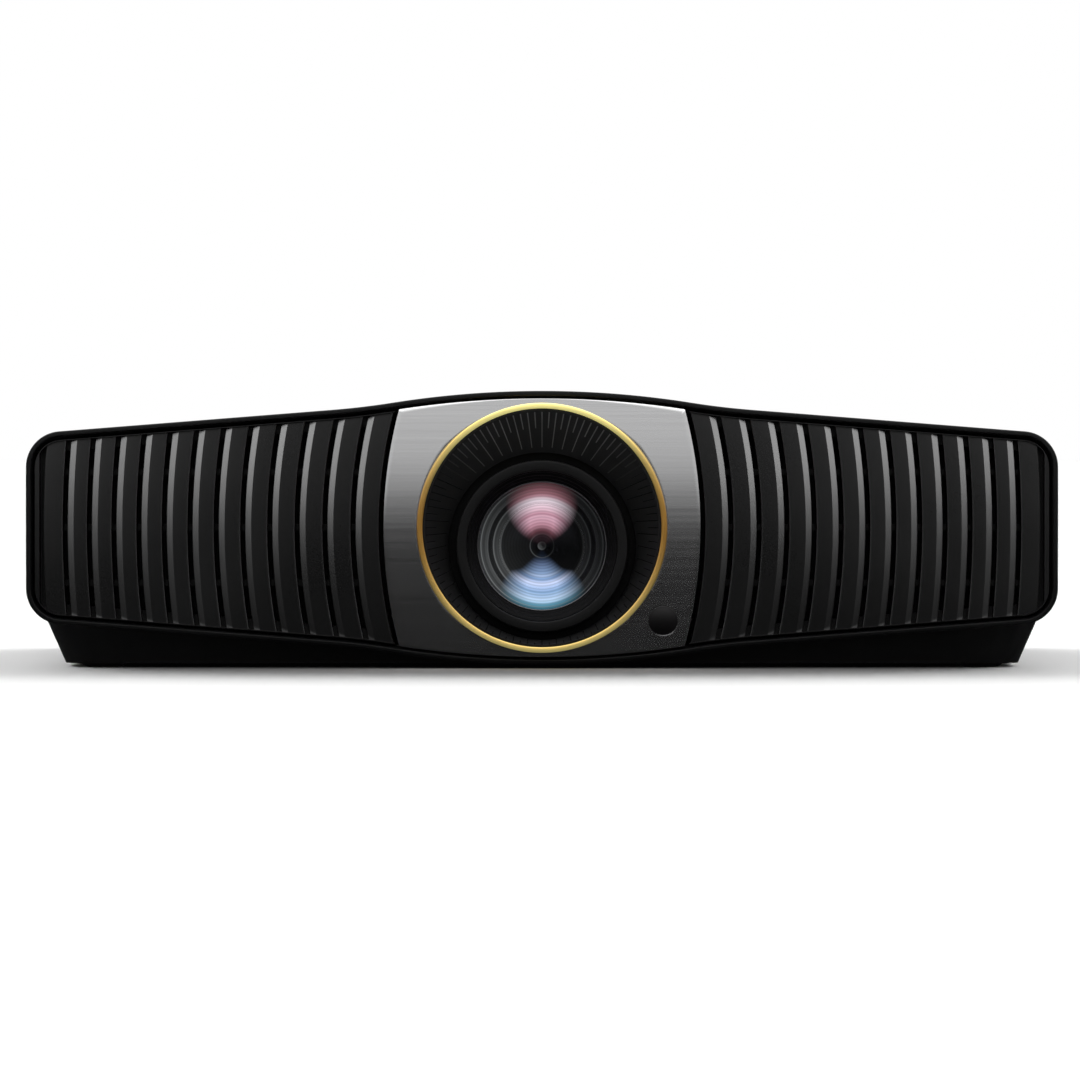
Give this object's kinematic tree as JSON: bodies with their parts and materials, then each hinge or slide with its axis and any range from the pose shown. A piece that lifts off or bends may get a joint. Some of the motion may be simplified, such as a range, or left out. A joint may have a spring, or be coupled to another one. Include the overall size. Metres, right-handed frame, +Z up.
{
  "type": "home cinema projector",
  "caption": "Low wide home projector: arched face with bowed upright fins, a brushed centre panel, a gold-ringed off-centre lens, rear sockets, screw feet and a top keypad.",
  "frame": {"origin": "on the table under the middle of the projector: centre of the bounding box, bottom", "axes": "+X to the right of someone facing the lens, +Y from the lens towards the back, +Z up"},
  "size_m": [0.52, 0.42, 0.14],
  "materials": {
    "bezel_finish": "satin charcoal",
    "grille_finish": "satin charcoal",
    "brushed_panel": "fine level brushing, gunmetal",
    "gold_ring": "polished, gold",
    "surround_black": "matt black with fine lines",
    "window_black": "gloss black",
    "case_black": "fine-grained black",
    "rear_black": "fine-grained black",
    "socket_steel": "plated",
    "socket_black": "plain",
    "board": "green circuit board",
    "supply": "circuit board with parts",
    "cast_aluminium": "as cast",
    "fin_aluminium": "plain",
    "copper": "plain copper",
    "fan_black": "plain",
    "wheel_aluminium": "yellow coating",
    "screw_steel": "plated",
    "barrel_black": "matt black",
    "motor_steel": "plated",
    "pinion_white": "plain",
    "cell_charcoal": "satin charcoal",
    "lens_glass": "coated, pink and blue reflections",
    "keypad_black": "fine-grained black",
    "key_black": "satin black",
    "light_pipe": "clear",
    "insert_brass": "plain",
    "foot_rubber": "matt",
    "filter_foam": "open black foam",
    "foot_disc": "plain"
  },
  "bodies": {
    "chassis": {"front_bezel": "bezel_finish", "left_grille": "grille_finish", "right_grille": "grille_finish", "centre_panel": "brushed_panel", "lens_trim_ring": "gold_ring", "lens_surround": "surround_black", "front_ir_window": "window_black", "top_cover": "case_black", "bottom_case": "case_black", "rear_panel": "rear_black", "hdmi_and_usb_sockets": "socket_steel", "lan_socket": "socket_steel", "serial_socket": "socket_steel", "jack_sockets": "socket_black", "power_inlet": "socket_black", "main_board": "board", "power_supply": "supply", "optical_engine": "cast_aluminium", "laser_module": "cast_aluminium", "laser_heat_sink": "fin_aluminium", "imager_heat_sink": "fin_aluminium", "heat_pipes": "copper", "fan_frames": "fan_black", "shift_base": "cast_aluminium", "keypad": "keypad_black", "status_lights": "light_pipe", "mount_inserts": "insert_brass", "case_screws": "screw_steel", "dust_filters": "filter_foam"},
    "cross_slide": {"shift_cross_slide": "cast_aluminium"},
    "lens": {"lens_mount": "cast_aluminium", "lens_barrel": "barrel_black", "lens_motors": "motor_steel"},
    "level_screw": {"horizontal_shift_screw": "screw_steel"},
    "upright_screw": {"vertical_shift_screw": "screw_steel"},
    "focus_wheel": {"focus_ring": "barrel_black"},
    "zoom_wheel": {"zoom_ring": "barrel_black"},
    "focus_gear": {"focus_pinion": "pinion_white"},
    "zoom_gear": {"zoom_pinion": "pinion_white"},
    "front_group": {"front_lens_cell": "cell_charcoal", "front_lens_glass": "lens_glass"},
    "zoom_group": {"zoom_lens_cell": "barrel_black", "zoom_lens_glass": "lens_glass"},
    "left_fan": {"left_impeller": "fan_black"},
    "inner_fan": {"inner_impeller": "fan_black"},
    "outer_fan": {"outer_impeller": "fan_black"},
    "colour_wheel": {"phosphor_wheel": "wheel_aluminium"},
    "power_button": {"power_key": "key_black"},
    "enter_button": {"enter_key": "key_black"},
    "up_button": {"up_key": "key_black"},
    "down_button": {"down_key": "key_black"},
    "left_button": {"left_key": "key_black"},
    "right_button": {"right_key": "key_black"},
    "front_left_foot": {"front_left_foot_pad": "foot_rubber"},
    "front_left_shank": {"front_left_foot_screw": "foot_disc"},
    "front_right_foot": {"front_right_foot_pad": "foot_rubber"},
    "front_right_shank": {"front_right_foot_screw": "foot_disc"},
    "rear_left_foot": {"rear_left_foot_pad": "foot_rubber"},
    "rear_left_shank": {"rear_left_foot_screw": "foot_disc"},
    "rear_right_foot": {"rear_right_foot_pad": "foot_rubber"},
    "rear_right_shank": {"rear_right_foot_screw": "foot_disc"}
  },
  "joints": [
    {"name": "horizontal_shift", "type": "slide", "parent": "chassis", "child": "cross_slide", "axis": [1, 0, 0], "range_m": [-0.002, 0.002]},
    {"name": "horizontal_screw_turn", "type": "hinge", "parent": "chassis", "child": "level_screw", "pos_m": [0, -0.0775, 0.1155], "axis": [1, 0, 0], "range_deg": [-721, 721]},
    {"name": "vertical_shift", "type": "slide", "parent": "cross_slide", "child": "lens", "axis": [0, 0, 1], "range_m": [-0.002, 0.0026]},
    {"name": "vertical_screw_turn", "type": "hinge", "parent": "cross_slide", "child": "upright_screw", "pos_m": [0, -0.0945, 0.11], "axis": [0, 0, 1], "range_deg": [-721, 937]},
    {"name": "focus_ring_turn", "type": "hinge", "parent": "lens", "child": "focus_wheel", "pos_m": [0, -0.163, 0.0615], "axis": [0, 1, 0], "range_deg": [-60, 60]},
    {"name": "focus_pinion_turn", "type": "hinge", "parent": "lens", "child": "focus_gear", "pos_m": [0.04101, -0.163, 0.10251], "axis": [0, 1, 0], "range_deg": [-231, 231]},
    {"name": "focus_travel", "type": "slide", "parent": "lens", "child": "front_group", "axis": [0, 1, 0], "range_m": [-0.0016, 0.0016]},
    {"name": "zoom_ring_turn", "type": "hinge", "parent": "lens", "child": "zoom_wheel", "pos_m": [0, -0.141, 0.0615], "axis": [0, 1, 0], "range_deg": [-35, 35]},
    {"name": "zoom_pinion_turn", "type": "hinge", "parent": "lens", "child": "zoom_gear", "pos_m": [-0.04101, -0.141, 0.10251], "axis": [0, 1, 0], "range_deg": [-135, 135]},
    {"name": "zoom_travel", "type": "slide", "parent": "lens", "child": "zoom_group", "axis": [0, 1, 0], "range_m": [-0.0051, 0.0051]},
    {"name": "left_fan_spin", "type": "hinge", "parent": "chassis", "child": "left_fan", "pos_m": [-0.19, -0.1365, 0.064], "axis": [0, 1, 0], "continuous": true},
    {"name": "inner_fan_spin", "type": "hinge", "parent": "chassis", "child": "inner_fan", "pos_m": [0.104, -0.1365, 0.064], "axis": [0, 1, 0], "continuous": true},
    {"name": "outer_fan_spin", "type": "hinge", "parent": "chassis", "child": "outer_fan", "pos_m": [0.188, -0.1365, 0.064], "axis": [0, 1, 0], "continuous": true},
    {"name": "phosphor_wheel_spin", "type": "hinge", "parent": "chassis", "child": "colour_wheel", "pos_m": [0.108, -0.051, 0.062], "axis": [0, 1, 0], "continuous": true},
    {"name": "power_key_press", "type": "slide", "parent": "chassis", "child": "power_button", "axis": [-0.0785, 0, -0.9969], "range_m": [0, 0.0005], "stiffness_N_per_m": 400, "springref_m": -0.001},
    {"name": "enter_key_press", "type": "slide", "parent": "chassis", "child": "enter_button", "axis": [-0.0785, 0, -0.9969], "range_m": [0, 0.0005], "stiffness_N_per_m": 400, "springref_m": -0.001},
    {"name": "up_key_press", "type": "slide", "parent": "chassis", "child": "up_button", "axis": [-0.0785, 0, -0.9969], "range_m": [0, 0.0005], "stiffness_N_per_m": 400, "springref_m": -0.001},
    {"name": "down_key_press", "type": "slide", "parent": "chassis", "child": "down_button", "axis": [-0.0785, 0, -0.9969], "range_m": [0, 0.0005], "stiffness_N_per_m": 400, "springref_m": -0.001},
    {"name": "left_key_press", "type": "slide", "parent": "chassis", "child": "left_button", "axis": [-0.0785, 0, -0.9969], "range_m": [0, 0.0005], "stiffness_N_per_m": 400, "springref_m": -0.001},
    {"name": "right_key_press", "type": "slide", "parent": "chassis", "child": "right_button", "axis": [-0.0785, 0, -0.9969], "range_m": [0, 0.0005], "stiffness_N_per_m": 400, "springref_m": -0.001},
    {"name": "front_left_foot_height", "type": "slide", "parent": "chassis", "child": "front_left_foot", "axis": [0, 0, -1], "range_m": [0, 0.02]},
    {"name": "front_left_foot_turn", "type": "hinge", "parent": "front_left_foot", "child": "front_left_shank", "pos_m": [-0.223, -0.168, 0.004], "axis": [0, 0, -1], "range_deg": [0, 5765]},
    {"name": "front_right_foot_height", "type": "slide", "parent": "chassis", "child": "front_right_foot", "axis": [0, 0, -1], "range_m": [0, 0.02]},
    {"name": "front_right_foot_turn", "type": "hinge", "parent": "front_right_foot", "child": "front_right_shank", "pos_m": [0.223, -0.168, 0.004], "axis": [0, 0, -1], "range_deg": [0, 5765]},
    {"name": "rear_left_foot_height", "type": "slide", "parent": "chassis", "child": "rear_left_foot", "axis": [0, 0, -1], "range_m": [0, 0.02]},
    {"name": "rear_left_foot_turn", "type": "hinge", "parent": "rear_left_foot", "child": "rear_left_shank", "pos_m": [-0.223, 0.164, 0.004], "axis": [0, 0, -1], "range_deg": [0, 5765]},
    {"name": "rear_right_foot_height", "type": "slide", "parent": "chassis", "child": "rear_right_foot", "axis": [0, 0, -1], "range_m": [0, 0.02]},
    {"name": "rear_right_foot_turn", "type": "hinge", "parent": "rear_right_foot", "child": "rear_right_shank", "pos_m": [0.223, 0.164, 0.004], "axis": [0, 0, -1], "range_deg": [0, 5765]}
  ],
  "couplings": [
    {"joint": "horizontal_screw_turn", "follows": "horizontal_shift", "rad_per_m": 6283.2},
    {"joint": "vertical_screw_turn", "follows": "vertical_shift", "rad_per_m": 6283.2},
    {"joint": "focus_pinion_turn", "follows": "focus_ring_turn", "ratio": -3.8333},
    {"joint": "focus_travel", "follows": "focus_ring_turn", "m_per_rad": 0.0014324},
    {"joint": "zoom_pinion_turn", "follows": "zoom_ring_turn", "ratio": -3.8333},
    {"joint": "zoom_travel", "follows": "zoom_ring_turn", "m_per_rad": 0.0081851},
    {"joint": "front_left_foot_turn", "follows": "front_left_foot_height", "rad_per_m": 5026.5},
    {"joint": "front_right_foot_turn", "follows": "front_right_foot_height", "rad_per_m": 5026.5},
    {"joint": "rear_left_foot_turn", "follows": "rear_left_foot_height", "rad_per_m": 5026.5},
    {"joint": "rear_right_foot_turn", "follows": "rear_right_foot_height", "rad_per_m": 5026.5}
  ]
}
